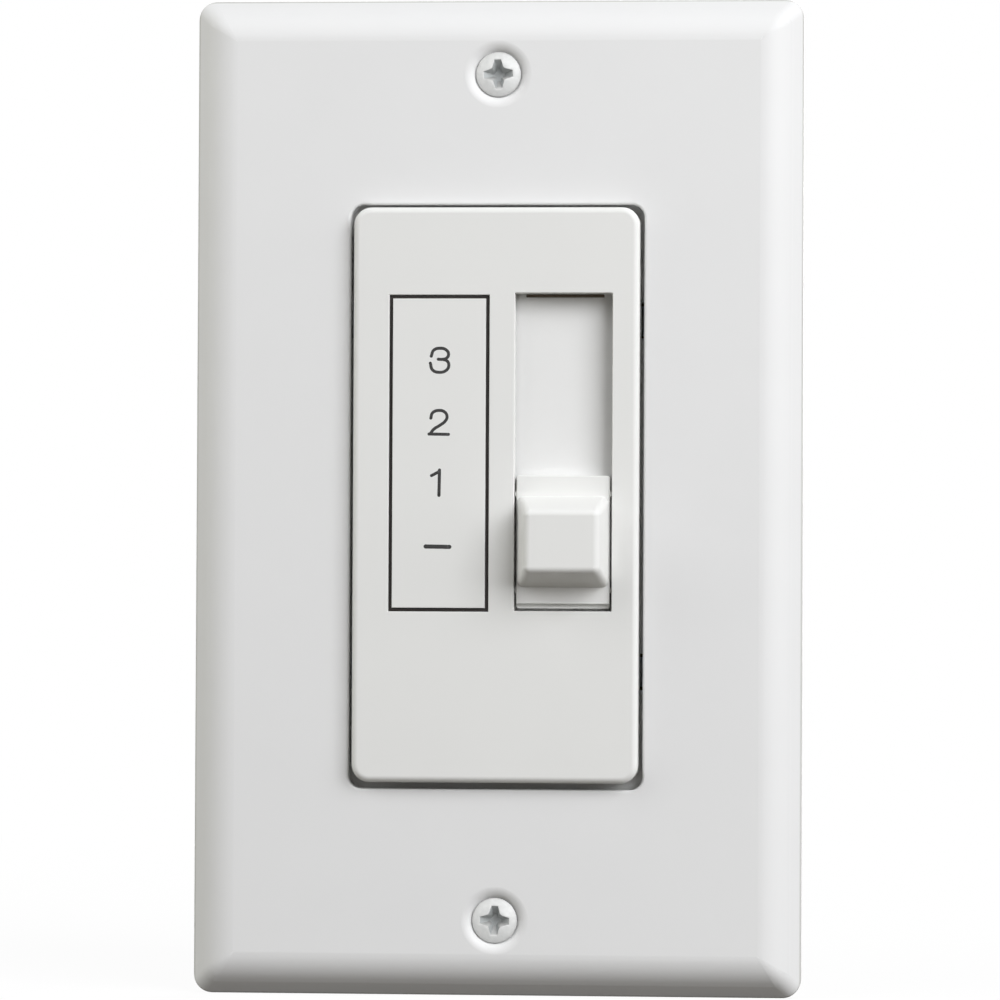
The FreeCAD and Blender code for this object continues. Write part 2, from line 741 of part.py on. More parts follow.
def make_housing():
    outer = slab(0, 0, housing_width, housing_height, 0, housing_depth, housing_corner)
    outer = outer.makeFillet(housing_edge, edges_at(outer, housing_depth))
    cavity_end = housing_depth - housing_back
    housing = outer.cut(block(0, 0, inner_width, inner_height, 0, cavity_end))
    inner = []
    for end in (1, -1):
        ledge_z = end * (inner_height / 2 - ledge_depth / 2)
        inner.append(block(0, ledge_z, ledge_width, ledge_depth, board_back, cavity_end))
        for side in (1, -1):
            inner.append(rod(side * clamp_x, end * clamp_z, pillar_radius, deck_flange, cavity_end))
    pocket_end = pocket_front + pocket_length
    pockets = []
    for side in (1, -1):
        lining_x = side * (pocket_floor + housing_width / 2 - housing_wall) / 2
        lining_width = pocket_depth + housing_wall
        inner.append(block(lining_x, 0, lining_width, pocket_height + 2 * housing_wall,
                           pocket_front - housing_wall, cavity_end))
        pockets.append(block(side * (pocket_floor + pocket_depth), 0, 2 * pocket_depth, pocket_height,
                             pocket_front, pocket_end))
        pockets.append(block(side * housing_width / 2, 0, 2 * channel_depth, channel_height,
                             pocket_end, housing_depth))
        tab_hole = terminal_tab_width + 2 * terminal_margin
        tab_hole_end = pocket_front + terminal_thickness + 2 * terminal_margin
        pockets.append(block(side * pocket_floor, 0, 4 * housing_wall, tab_hole, pocket_front, tab_hole_end))
        start = Vector(0, pocket_middle, 0)
        reach = terminal_shank_radius + terminal_margin
        pockets.append(Part.makeCylinder(reach, pocket_floor, start, Vector(side, 0, 0)))
    housing = housing.fuse([piece.common(outer) for piece in inner]).cut(pockets)
    for end in (1, -1):
        for side in (1, -1):
            x = side * clamp_x
            z = end * clamp_z
            bore = rod(x, z, clamp_radius + peg_clearance, deck_flange, deck_flange + pillar_bore)
            housing = housing.cut(rod(x, z, clamp_hole, 0, deck_flange)).cut(bore)
    return mark_back(housing).removeSplitter()


def mark_back(housing):
    # Sunk panel with the marks of the ejector pins, and a trough to measure stripped wire by
    panel_width = 2 * (housing_width / 2 - channel_depth - panel_margin)
    panel_height = housing_height - 2 * panel_margin
    floor = housing_depth - panel_depth
    housing = housing.cut(slab(0, 0, panel_width, panel_height, floor, housing_depth, panel_corner))
    for end in (1, -1):
        for side in (1, -1):
            mark_x = side * (panel_width / 2 - ejector_inset)
            mark_z = end * (panel_height / 2 - ejector_inset)
            housing = housing.cut(rod(mark_x, mark_z, ejector_radius, floor - ejector_depth, floor))
    return housing.cut(slab(0, -gauge_drop, gauge_length, gauge_width, floor - gauge_depth, floor,
                            gauge_width / 2 - thread_clearance))


def make_housing_screws():
    screws = []
    for end in (1, -1):
        for side in (1, -1):
            x = side * clamp_x
            z = end * clamp_z
            top = yoke_face - clamp_head_height
            head = rod(x, z, clamp_head_radius, top, yoke_face)
            head = head.makeFillet(clamp_head_height / 2, edges_at(head, top))
            shank = rod(x, z, clamp_radius, yoke_face, yoke_face + clamp_length)
            screws.append(head.fuse(shank).cut(small_cross(x, z, top)).removeSplitter())
    return Part.makeCompound(screws)


def small_cross(x, z, top):
    low = top + clamp_head_height / 2
    bar = block(x, z, 2 * clamp_cross_reach, clamp_cross_width, top, low)
    return bar.fuse(block(x, z, clamp_cross_width, 2 * clamp_cross_reach, top, low))


def terminal_on_right():
    outer = pocket_floor + terminal_thickness
    plate_front = pocket_front + terminal_margin
    plate_end = pocket_front + pocket_length - terminal_margin
    half = pocket_height / 2 - terminal_margin
    plate = box(pocket_floor, outer, plate_front, plate_end, -half, half)
    bore = terminal_shank_radius + thread_clearance
    plate = plate.cut(Part.makeCylinder(bore, terminal_thickness, Vector(pocket_floor, pocket_middle, 0),
                                        Vector(1, 0, 0)))
    tab = box(pin_x, pocket_floor, plate_front, plate_front + terminal_thickness,
              -terminal_tab_width / 2, terminal_tab_width / 2)
    pin = box(pin_x, pin_x + terminal_thickness, board_front - lead_tail, plate_front,
              -terminal_pin_width / 2, terminal_pin_width / 2)
    return plate.fuse(tab).fuse(pin).removeSplitter()


def make_terminal_plates():
    right = terminal_on_right()
    return Part.makeCompound([right, mirrored(right)])


def make_terminal_screws():
    seat = pocket_floor + terminal_thickness
    start = Vector(seat, pocket_middle, 0)
    head = Part.makeCylinder(terminal_head_radius, terminal_head_height, start, Vector(1, 0, 0))
    shank = Part.makeCylinder(terminal_shank_radius, terminal_shank_length, start, Vector(-1, 0, 0))
    top = seat + terminal_head_height
    rim = [e for e in head.Edges if all(abs(v.Point.x - top) < 1e-6 for v in e.Vertexes)]
    head = head.makeFillet(terminal_head_edge, rim)
    slot = box(top - driver_slot_depth, top, pocket_middle - terminal_head_radius,
               pocket_middle + terminal_head_radius, -driver_slot_width / 2, driver_slot_width / 2)
    right = head.fuse(shank).cut(slot).removeSplitter()
    return Part.makeCompound([right, mirrored(right)])


def make_earth_screw():
    start = Vector(earth_tab_x, earth_tab_length / 2, earth_plane)
    ring = []
    for corner in range(6):
        turn = math.radians(60 * corner)
        ring.append(start + Vector(earth_head_radius * math.cos(turn), earth_head_radius * math.sin(turn), 0))
    head = Part.Face(Part.makePolygon(ring + ring[:1])).extrude(Vector(0, 0, -earth_head_height))
    flat = earth_head_radius * math.cos(math.radians(30))
    wide = flat + earth_head_height / math.tan(math.radians(30))
    head = head.common(Part.makeCone(wide, flat, earth_head_height, start, Vector(0, 0, -1)))
    shank = Part.makeCylinder(terminal_shank_radius, earth_shank_length, start, Vector(0, 0, 1))
    low = earth_plane - earth_head_height
    slot = box(start.x - earth_head_radius, start.x + earth_head_radius, start.y - driver_slot_width / 2,
               start.y + driver_slot_width / 2, low, low + driver_slot_depth)
    return head.fuse(shank).cut(slot).removeSplitter()


def lead_places():
    # Every round wire that goes through the board, as (x, z)
    places = [(large_x, large_lift + end * large_lead_pitch / 2) for end in (1, -1)]
    places += [(end * small_lead_pitch / 2, small_z) for end in (1, -1)]
    for row in resistor_rows:
        places += [(resistor_x + end * resistor_lead_pitch / 2, row) for end in (1, -1)]
    places += [(fuse_x + end * fuse_lead_pitch / 2, fuse_z) for end in (1, -1)]
    return places


def make_circuit_board():
    board = block(0, 0, board_width, board_height, board_front, board_back)
    holes = [rod(x, z, lead_radius + lead_clearance, board_front, board_back) for x, z in lead_places()]
    for side in (1, -1):
        pin_centre = side * (pin_x + terminal_thickness / 2)
        holes.append(block(pin_centre, 0, terminal_thickness + 2 * lead_clearance,
                           terminal_pin_width + 2 * lead_clearance, board_front, board_back))
    return board.cut(holes)


def make_common_rail():
    low = carriage_z + wiper_reach - contact_length / 2
    high = carriage_z + wiper_reach + travel + contact_length / 2
    return slab(slot_x - rail_offset, (low + high) / 2, rail_width, high - low, rail_front, board_front,
                rail_width / 4)


def make_speed_contacts():
    pads = []
    for step in range(1, detent_count):
        pad_z = carriage_z + wiper_reach + step * detent_pitch
        pads.append(slab(slot_x + rail_offset, pad_z, rail_width, contact_length, rail_front, board_front,
                         rail_width / 4))
    return Part.makeCompound(pads)


def film_capacitor(x, z, width, length, height, leads):
    # A potted box with its wires on the board's side
    can = block(x, z, width, length, board_back, board_back + height)
    can = can.makeFillet(can_edge, edges_at(can, board_back + height))
    for lead_x, lead_z in leads:
        can = can.fuse(rod(lead_x, lead_z, lead_radius, board_front - lead_tail, board_back))
    return can


def axial_part(x, z, radius, length, pitch):
    # A round body lying along x, with both wires bent down through the board
    y = board_back + radius + axial_standoff
    body = Part.makeCylinder(radius, length, Vector(x - length / 2, y, z), Vector(1, 0, 0))
    body = body.makeFillet(radius / 3, [e for e in body.Edges if e.isClosed()])
    for side in (1, -1):
        bend = Vector(x + side * pitch / 2, y, z)
        body = body.fuse(Part.makeCylinder(lead_radius, pitch / 2, bend, Vector(-side, 0, 0)))
        body = body.fuse(rod(bend.x, z, lead_radius, board_front - lead_tail, y))
        body = body.fuse(Part.makeSphere(lead_radius, bend))
    return body.removeSplitter()


def make_capacitor_large():
    return film_capacitor(large_x, large_lift, large_width, large_length, large_height, lead_places()[0:2])


def make_capacitor_small():
    return film_capacitor(0, small_z, small_length, small_width, small_height, lead_places()[2:4])


def make_bleed_resistors():
    bodies = []
    for row in resistor_rows:
        bodies.append(axial_part(resistor_x, row, resistor_radius, resistor_length, resistor_lead_pitch))
    return Part.makeCompound(bodies)


def make_thermal_fuse():
    return axial_part(fuse_x, fuse_z, fuse_radius, fuse_length, fuse_lead_pitch)


pieces = {
    "wall_plate": make_wall_plate,
    "plate_screws": make_plate_screws,
    "front_cover": make_front_cover,
    "legend_insert": make_legend_insert,
    "slide_floor": make_slide_floor,
    "slide_carriage": make_slide_carriage,
    "knob_cap": make_knob_cap,
    "wiper_contact": make_wiper_contact,
    "detent_spring": make_detent_spring,
    "yoke": make_yoke,
    "carriage_deck": make_deck,
    "housing": make_housing,
    "housing_screws": make_housing_screws,
    "terminal_plates": make_terminal_plates,
    "terminal_screws": make_terminal_screws,
    "earth_screw": make_earth_screw,
    "circuit_board": make_circuit_board,
    "common_rail": make_common_rail,
    "speed_contacts": make_speed_contacts,
    "capacitor_large": make_capacitor_large,
    "capacitor_small": make_capacitor_small,
    "bleed_resistors": make_bleed_resistors,
    "thermal_fuse": make_thermal_fuse,
}

os.makedirs("parts", exist_ok=True)
for name, make in pieces.items():
    shape = make()
    shape.exportStep("parts/" + name + ".step")
    print(name, "solids", len(shape.Solids), "valid", shape.isValid(), "volume", round(shape.Volume, 2))
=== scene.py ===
import math

import bmesh
import bpy
from mathutils import Matrix, Vector


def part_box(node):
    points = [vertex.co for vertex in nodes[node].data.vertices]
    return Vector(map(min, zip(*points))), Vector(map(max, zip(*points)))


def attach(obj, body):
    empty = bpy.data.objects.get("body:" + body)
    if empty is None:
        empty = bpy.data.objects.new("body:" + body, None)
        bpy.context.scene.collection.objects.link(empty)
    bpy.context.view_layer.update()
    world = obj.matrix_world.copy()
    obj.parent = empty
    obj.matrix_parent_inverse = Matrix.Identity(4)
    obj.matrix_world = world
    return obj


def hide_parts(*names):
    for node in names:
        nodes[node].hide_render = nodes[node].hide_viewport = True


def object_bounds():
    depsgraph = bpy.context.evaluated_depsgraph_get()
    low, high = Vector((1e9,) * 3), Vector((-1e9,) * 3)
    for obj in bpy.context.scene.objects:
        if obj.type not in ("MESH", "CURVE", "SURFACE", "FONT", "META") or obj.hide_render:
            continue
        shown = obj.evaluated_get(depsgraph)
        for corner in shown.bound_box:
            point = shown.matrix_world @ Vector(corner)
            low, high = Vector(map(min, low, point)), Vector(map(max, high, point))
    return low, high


# Fan speed control switch: the CAD solids are the frame, dressed here for the eye. The scene is in metres,
# and the dictionaries are in mm and degrees unless their note says otherwise
mm = 0.001
roundOff = {"offset_type": "OFFSET", "profile": 0.5, "affect": "EDGES", "material": -1}  # for every bevel

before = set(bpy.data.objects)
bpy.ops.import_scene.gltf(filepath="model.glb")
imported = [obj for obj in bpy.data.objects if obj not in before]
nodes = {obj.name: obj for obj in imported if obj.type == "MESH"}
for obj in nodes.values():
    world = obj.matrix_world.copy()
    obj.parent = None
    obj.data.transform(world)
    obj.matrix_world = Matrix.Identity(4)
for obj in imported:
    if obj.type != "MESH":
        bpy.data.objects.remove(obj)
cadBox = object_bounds()
scene = bpy.context.scene


def toLinear(hexColour):
    # sRGB hex to the linear values that the shaders take
    parts = [int(hexColour[i:i + 2], 16) / 255 for i in (1, 3, 5)]
    return [c / 12.92 if c <= 0.04045 else ((c + 0.055) / 1.055) ** 2.4 for c in parts] + [1.0]


def addNode(tree, kind, values=None, links=None, **settings):
    node = tree.nodes.new(kind)
    for name, value in settings.items():
        setattr(node, name, value)
    for name, value in (values or {}).items():
        node.inputs[name].default_value = value
    for name, source in (links or {}).items():
        tree.links.new(source, node.inputs[name])
    return node


def startMaterial(name, look):
    # A Principled shader in an empty tree; what is the same all over goes straight on its sockets
    material = bpy.data.materials.new(name)
    material.use_nodes = True
    tree = material.node_tree
    tree.nodes.clear()
    shader = addNode(tree, "ShaderNodeBsdfPrincipled", look)
    addNode(tree, "ShaderNodeOutputMaterial", links={"Surface": shader.outputs["BSDF"]})
    place = addNode(tree, "ShaderNodeTexCoord").outputs["Object"]
    return material, tree, shader, place


def twoTone(tree, shader, finish, share):
    # From the finish's first colour and roughness to its second, as the share goes from 0 to 1
    first, second = [toLinear(c) for c in finish["colours"]]
    least, most = finish["rough"]
    shade = addNode(tree, "ShaderNodeMixRGB", {"Color1": first, "Color2": second}, {"Fac": share})
    sheen = addNode(tree, "ShaderNodeMapRange", {"To Min": least, "To Max": most}, {"Value": share})
    tree.links.new(shade.outputs["Color"], shader.inputs["Base Color"])
    tree.links.new(sheen.outputs["Result"], shader.inputs["Roughness"])
    return shade.outputs["Color"]


# Moulded plastics: a satin skin from an etched mould, slow sink waves under it and a faint flow shade.
# Each has its grain of etching and how deep that is; the size of flow and sink is the same for all
plastics = {
    "mouldedNylonWhite": {
        "colours": ("#e7e7e7", "#e4e4e4"), "rough": (0.46, 0.52), "grit": 0.22, "lift": 0.0022},
    "mouldedAbsWhite": {
        "colours": ("#e7e7e5", "#e4e4e2"), "rough": (0.44, 0.50), "grit": 0.20, "lift": 0.0018},
    "acetalWhite": {
        "colours": ("#ececeb", "#e9e9e8"), "rough": (0.30, 0.38), "grit": 0.16, "lift": 0.0012},
    "mouldedPbtPale": {
        "colours": ("#d2cdb8", "#cac4ad"), "rough": (0.45, 0.55), "grit": 0.30, "lift": 0.0040},
    "filmBoxGrey": {
        "colours": ("#7d8287", "#74797e"), "rough": (0.35, 0.48), "grit": 0.35, "lift": 0.0040},
    "phenolicBlack": {
        "colours": ("#222021", "#191718"), "rough": (0.38, 0.55), "grit": 0.35, "lift": 0.0050},
}
moulding = {"flow": 9, "sink": 16, "sinkDepth": 0.03, "strength": 0.5}


def mouldedPlastic(name):
    finish = plastics[name]
    strength = moulding["strength"]
    material, tree, shader, place = startMaterial(name, {"IOR": 1.5, "Specular IOR Level": 0.35})
    flow = addNode(tree, "ShaderNodeTexNoise", {"Scale": 1 / (moulding["flow"] * mm), "Detail": 2.0},
                   {"Vector": place})
    twoTone(tree, shader, finish, flow.outputs["Fac"])
    grit = addNode(tree, "ShaderNodeTexNoise", {"Scale": 1 / (finish["grit"] * mm), "Detail": 1.0},
                   {"Vector": place})
    skin = addNode(tree, "ShaderNodeBump", {"Strength": strength, "Distance": finish["lift"] * mm},
                   {"Height": grit.outputs["Fac"]})
    sink = addNode(tree, "ShaderNodeTexNoise", {"Scale": 1 / (moulding["sink"] * mm), "Detail": 0.0},
                   {"Vector": place})
    wave = addNode(tree, "ShaderNodeBump", {"Strength": strength, "Distance": moulding["sinkDepth"] * mm},
                   {"Height": sink.outputs["Fac"], "Normal": skin.outputs["Normal"]})
    tree.links.new(wave.outputs["Normal"], shader.inputs["Normal"])
    return material


# Painted rim shade: a darker line painted round the plate's rim, standing for the shade where the rim turns
# away from the light, so that it outlines the plate. It is solid up to the first reach and gone at the second
rimShade = {"corner": 2.2, "rimY": -2.63, "reach": (0.12, 0.40), "shade": "#c6c6c3"}


def addPaintedRimShade(material, high):
    # Paints the shade by the distance to the rim, which is a rectangle with round corners in one plane
    tree = material.node_tree
    shader = next(n for n in tree.nodes if n.type == "BSDF_PRINCIPLED")
    plain = shader.inputs["Base Color"].links[0].from_socket
    place = addNode(tree, "ShaderNodeTexCoord").outputs["Object"]
    corner = rimShade["corner"] * mm
    core = (high.x - corner, 0, high.z - corner)
    solid, gone = [r * mm for r in rimShade["reach"]]
    past = place
    for operation, value in (("MULTIPLY", (1, 0, 1)), ("ABSOLUTE", None), ("SUBTRACT", core),
                             ("MAXIMUM", (0, 0, 0))):
        values = {1: value} if value else None
        past = addNode(tree, "ShaderNodeVectorMath", values, {0: past}, operation=operation).outputs[0]
    out = addNode(tree, "ShaderNodeVectorMath", links={0: past}, operation="LENGTH")
    across = addNode(tree, "ShaderNodeMath", {1: corner}, {0: out.outputs["Value"]}, operation="SUBTRACT")
    depth = addNode(tree, "ShaderNodeSeparateXYZ", links={"Vector": place}).outputs["Y"]
    along = addNode(tree, "ShaderNodeMath", {1: rimShade["rimY"] * mm}, {0: depth}, operation="SUBTRACT")
    offset = addNode(tree, "ShaderNodeCombineXYZ", links={"X": across.outputs[0], "Y": along.outputs[0]})
    away = addNode(tree, "ShaderNodeVectorMath", links={0: offset.outputs["Vector"]}, operation="LENGTH")
    near = addNode(tree, "ShaderNodeMapRange",
                   {"From Min": solid, "From Max": gone, "To Min": 1.0, "To Max": 0.0},
                   {"Value": away.outputs["Value"]}, interpolation_type="SMOOTHSTEP")
    line = addNode(tree, "ShaderNodeMixRGB", {"Color2": toLinear(rimShade["shade"])},
                   {"Fac": near.outputs["Result"], "Color1": plain})
    tree.links.new(line.outputs["Color"], shader.inputs["Base Color"])


# Metals: plated, rolled or drawn. Cells of spangle on galvanised sheet, cloudy patches on the rest, and fine
# draw lines on all. The driven recess wears a darker, less metallic copy of the zinc, which is painted shade
metals = {
    "zincPlate": {
        "colours": ("#c3c3c2", "#b6b7b6"), "rough": (0.69, 0.79), "patch": 0.5, "lift": 0.0015},
    # painted shade for the screw's recess
    "zincPaintedShade": {
        "colours": ("#b1b4b4", "#a5a8a8"), "rough": (0.55, 0.65), "patch": 0.3, "lift": 0.0020,
        "metallic": 0.25},
    "galvanisedSheet": {
        "colours": ("#b9bdc1", "#9fa5aa"), "rough": (0.28, 0.46), "patch": 4.5, "lift": 0.004,
        "spangle": True},
    "rolledBrass": {
        "colours": ("#d0b479", "#bb9b5f"), "rough": (0.22, 0.38), "patch": 1.5, "lift": 0.003},
    "springBronze": {
        "colours": ("#cf9a66", "#b98352"), "rough": (0.20, 0.34), "patch": 1.5, "lift": 0.002},
    "greenDyedZinc": {
        "colours": ("#2f7d4a", "#226238"), "rough": (0.26, 0.40), "patch": 1.0, "lift": 0.003},
    "drawnAluminium": {
        "colours": ("#d5d6d7", "#c3c5c7"), "rough": (0.24, 0.36), "patch": 0.8, "lift": 0.002},
}
drawLines = {"length": 1.5, "stretch": (12, 12, 1), "strength": 0.4}


def platedMetal(name):
    finish = metals[name]
    material, tree, shader, place = startMaterial(name, {"Metallic": finish.get("metallic", 1.0)})
    scale = 1 / (finish["patch"] * mm)
    if finish.get("spangle"):
        cells = addNode(tree, "ShaderNodeTexVoronoi", {"Scale": scale}, {"Vector": place})
        parts = addNode(tree, "ShaderNodeSeparateColor", links={"Color": cells.outputs["Color"]})
        patch = parts.outputs["Red"]
    else:
        clouds = addNode(tree, "ShaderNodeTexNoise", {"Scale": scale, "Detail": 3.0}, {"Vector": place})
        patch = clouds.outputs["Fac"]
    twoTone(tree, shader, finish, patch)
    drawn = addNode(tree, "ShaderNodeMapping", {"Scale": drawLines["stretch"]}, {"Vector": place})
    scratch = addNode(tree, "ShaderNodeTexNoise", {"Scale": 1 / (drawLines["length"] * mm), "Detail": 2.0},
                      {"Vector": drawn.outputs["Vector"]})
    skin = addNode(tree, "ShaderNodeBump",
                   {"Strength": drawLines["strength"], "Distance": finish["lift"] * mm},
                   {"Height": scratch.outputs["Fac"]})
    tree.links.new(skin.outputs["Normal"], shader.inputs["Normal"])
    return material


# Mottled things: an uneven film of ink, and the foam and fibres of the dark fills painted as shade in gaps
mottles = {
    "padPrintInk": {
        "colours": ("#1d1c1c", "#282726"), "IOR": 1.45, "rough": 0.5, "grain": 0.4, "detail": 2.0},
    # painted shade: the dark foam of the bead in the insert's groove
    "beadShadeFoam": {
        "colours": ("#3b3634", "#2d2928"), "IOR": 1.45, "rough": 0.7, "grain": 0.12, "cells": True},
    # painted shade: the brown fibres of the strip in the slit
    "shadedSlitFibres": {
        "colours": ("#8a7d70", "#74685d"), "IOR": 1.4, "rough": 0.9, "grain": 0.1, "detail": 3.0},
}


def mottledMatter(name):
    finish = mottles[name]
    first, second = [toLinear(c) for c in finish["colours"]]
    material, tree, shader, place = startMaterial(name, {"IOR": finish["IOR"], "Roughness": finish["rough"]})
    scale = 1 / (finish["grain"] * mm)
    if finish.get("cells"):
        cells = addNode(tree, "ShaderNodeTexVoronoi", {"Scale": scale}, {"Vector": place})
        share = cells.outputs["Distance"]
    else:
        clouds = addNode(tree, "ShaderNodeTexNoise", {"Scale": scale, "Detail": finish["detail"]},
                         {"Vector": place})
        share = clouds.outputs["Fac"]
    shade = addNode(tree, "ShaderNodeMixRGB", {"Color1": first, "Color2": second}, {"Fac": share})
    tree.links.new(shade.outputs["Color"], shader.inputs["Base Color"])
    return material


# Board laminate: woven glass under resin, whose threads show half the weave's size long
laminate = {"weave": 1.0, "threads": ("#a59a4e", "#96893f"), "resin": "#877b36"}


def glassLaminate():
    first, second = [toLinear(c) for c in laminate["threads"]]
    material, tree, shader, place = startMaterial("glassLaminate", {"IOR": 1.55, "Roughness": 0.35})
    weave = addNode(tree, "ShaderNodeTexBrick",
                    {"Scale": 1 / (laminate["weave"] * mm), "Color1": first, "Color2": second,
                     "Mortar": toLinear(laminate["resin"])}, {"Vector": place})
    tree.links.new(weave.outputs["Color"], shader.inputs["Base Color"])
    return material


# Lacquered ceramic: a pale blue dip coat with painted rings, each with its two edges along the body
lacquer = {
    "colours": ("#9db9c6", "#8fabb9"), "rough": (0.22, 0.34), "grain": 0.9,
    "rings": [(-9.6, -9.0, "#5a3420"), (-8.4, -7.8, "#1d1b1a"), (-7.2, -6.6, "#c8701f"),
              (-4.9, -4.3, "#b8963a")],
}


def lacqueredCeramic():
    material, tree, shader, place = startMaterial("lacqueredCeramic", {"IOR": 1.5})
    along = addNode(tree, "ShaderNodeSeparateXYZ", links={"Vector": place}).outputs["X"]
    dip = addNode(tree, "ShaderNodeTexNoise", {"Scale": 1 / (lacquer["grain"] * mm), "Detail": 2.0},
                  {"Vector": place})
    paint = twoTone(tree, shader, lacquer, dip.outputs["Fac"])
    for start, end, colour in lacquer["rings"]:
        middle, half = (start + end) / 2 * mm, (end - start) / 2 * mm
        near = addNode(tree, "ShaderNodeMath", {1: middle, 2: half}, {0: along}, operation="COMPARE")
        paint = addNode(tree, "ShaderNodeMixRGB", {"Color2": toLinear(colour)},
                        {"Fac": near.outputs[0], "Color1": paint}).outputs["Color"]
    tree.links.new(paint, shader.inputs["Base Color"])
    return material


finishes = {name: mouldedPlastic(name) for name in plastics}
finishes.update({name: platedMetal(name) for name in metals})
finishes.update({name: mottledMatter(name) for name in mottles})
finishes["glassLaminate"] = glassLaminate()
finishes["lacqueredCeramic"] = lacqueredCeramic()
# The plate's rim gets a painted shade line
addPaintedRimShade(finishes["mouldedNylonWhite"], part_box("wall_plate")[1])
print("materials:", len(finishes))

# Which finish each CAD node wears
dress = {
    "wall_plate": "mouldedNylonWhite", "plate_screws": "zincPlate", "front_cover": "mouldedAbsWhite",
    "legend_insert": "mouldedAbsWhite", "slide_floor": "acetalWhite", "slide_carriage": "mouldedAbsWhite",
    "knob_cap": "mouldedAbsWhite", "wiper_contact": "springBronze", "detent_spring": "springBronze",
    "yoke": "galvanisedSheet", "carriage_deck": "mouldedPbtPale", "housing": "phenolicBlack",
    "housing_screws": "zincPlate", "terminal_plates": "rolledBrass", "terminal_screws": "rolledBrass",
    "earth_screw": "greenDyedZinc", "circuit_board": "glassLaminate", "common_rail": "rolledBrass",
    "speed_contacts": "rolledBrass", "capacitor_large": "filmBoxGrey", "capacitor_small": "filmBoxGrey",
    "bleed_resistors": "lacqueredCeramic", "thermal_fuse": "drawnAluminium",
}
for name, finish in dress.items():
    nodes[name].data.materials.clear()
    nodes[name].data.materials.append(finishes[finish])
print("dressed:", len(dress), "nodes")


def meshFrom(name, build):
    mesh = bpy.data.meshes.new(name)
    build.to_mesh(mesh)
    build.free()
    return mesh


def addObject(name, data):
    thing = bpy.data.objects.new(name, data)
    scene.collection.objects.link(thing)
    return thing


def addPiece(name, build, finish, body):
    # Turns a finished bmesh into a piece of the object, with its place in its mesh
    mesh = meshFrom(name, build)
    mesh.materials.append(finishes[finish])
    piece = addObject(name, mesh)
    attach(piece, body)
    return piece


# Legend: strokes of ink on the insert's face, each a smooth line through a few points (x, z)
legend = {
    "stroke": 0.37, "film": 0.012, "turn": 0.9, "weld": 0.0001, "roundness": 3, "lineSteps": 8,
    "glyphs": {
        "three": {"centre": (-6.42, 15.52), "lines": [
            [(-0.97, 0.46), (-0.69, 1.15), (0.04, 1.38), (0.70, 1.22), (1.01, 0.74), (0.80, 0.27),
             (0.36, 0.12), (-0.16, 0.12)],
            [(0.36, 0.12), (0.88, -0.08), (1.06, -0.6), (0.78, -1.13), (0.0, -1.37), (-0.78, -1.12),
             (-1.06, -0.35)]]},
        "two": {"centre": (-6.48, 8.44), "lines": [
            [(-0.92, 0.46), (-0.74, 1.06), (-0.03, 1.35), (0.68, 1.16), (0.93, 0.62), (0.72, 0.14),
             (0.16, -0.32), (-0.6, -0.84), (-0.96, -1.35)],
            [(-1.1, -1.36), (1.13, -1.36)]]},
        "one": {"centre": (-6.42, 1.54), "lines": [
            [(0.02, 1.45), (0.02, -1.45)], [(-0.88, 0.8), (-0.02, 1.26)]]},
        "dash": {"centre": (-6.56, -5.76), "lines": [[(-1.36, 0.0), (1.36, 0.0)]], "stroke": 0.5},
    },
}


def strokeMesh(line, width, film):
    # A round-section line, flattened to a film
    curve = bpy.data.curves.new("stroke", "CURVE")
    curve.dimensions = "3D"
    curve.bevel_depth = width / 2
    curve.bevel_resolution = legend["roundness"]
    curve.use_fill_caps = True
    spline = curve.splines.new("BEZIER")
    spline.bezier_points.add(len(line) - 1)
    for point, (x, z) in zip(spline.bezier_points, line):
        point.co = (x * mm, 0, z * mm)
        point.handle_left_type = point.handle_right_type = "AUTO"
    spline.resolution_u = legend["lineSteps"]
    holder = bpy.data.objects.new("stroke", curve)
    mesh = bpy.data.meshes.new_from_object(holder)
    bpy.data.objects.remove(holder)
    mesh.transform(Matrix.Diagonal((1, film / width, 1, 1)))
    return mesh


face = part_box("legend_insert")[0].y
film = legend["film"] * mm
tilt = Matrix.Rotation(math.radians(legend["turn"]), 3, "Y")
for name, glyph in legend["glyphs"].items():
    build = bmesh.new()
    width = glyph.get("stroke", legend["stroke"]) * mm
    for line in glyph["lines"]:
        build.from_mesh(strokeMesh(line, width, film))
        bmesh.ops.remove_doubles(build, verts=build.verts, dist=legend["weld"] * mm)  # closes the ends
        for x, z in (line[0], line[-1]):
            dot = bmesh.ops.create_icosphere(build, subdivisions=2, radius=width / 2)["verts"]
            bmesh.ops.scale(build, verts=dot, vec=(1, film / width, 1))
            bmesh.ops.translate(build, verts=dot, vec=(x * mm, 0, z * mm))
    x, z = glyph["centre"]
    bmesh.ops.rotate(build, verts=build.verts, matrix=tilt)
    bmesh.ops.translate(build, verts=build.verts, vec=(x * mm, face, z * mm))
    addPiece("legend_" + name, build, "padPrintInk", "body")
print("legend:", len(legend["glyphs"]), "glyphs")

# Shade bead: a dark foam bead laid in the groove round the insert, a little below the face, as painted shade
# that draws its outline. A face of the bead is a side wall if its normal's y is under wallLimit
shadeBead = {"wide": 0.4, "below": 0.5, "thick": 0.55, "play": 0.01, "round": 0.14, "wallLimit": 0.5}
low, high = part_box("legend_insert")
build = bmesh.new()
reach = (shadeBead["play"] + shadeBead["wide"]) * mm
left, right, bottom, top = low.x - reach, high.x + reach, low.z - reach, high.z + reach
outline = [(left, bottom), (right, bottom), (right, top), (left, top)]
sheet = build.faces.new([build.verts.new((x, face + shadeBead["below"] * mm, z)) for x, z in outline])
sheet.normal_update()
bmesh.ops.inset_region(build, faces=[sheet], thickness=shadeBead["wide"] * mm, use_boundary=True,
                       use_even_offset=True)
bmesh.ops.delete(build, geom=[sheet], context="FACES")
bead = bmesh.ops.extrude_face_region(build, geom=build.faces[:])["geom"]
deep = [v for v in bead if isinstance(v, bmesh.types.BMVert)]
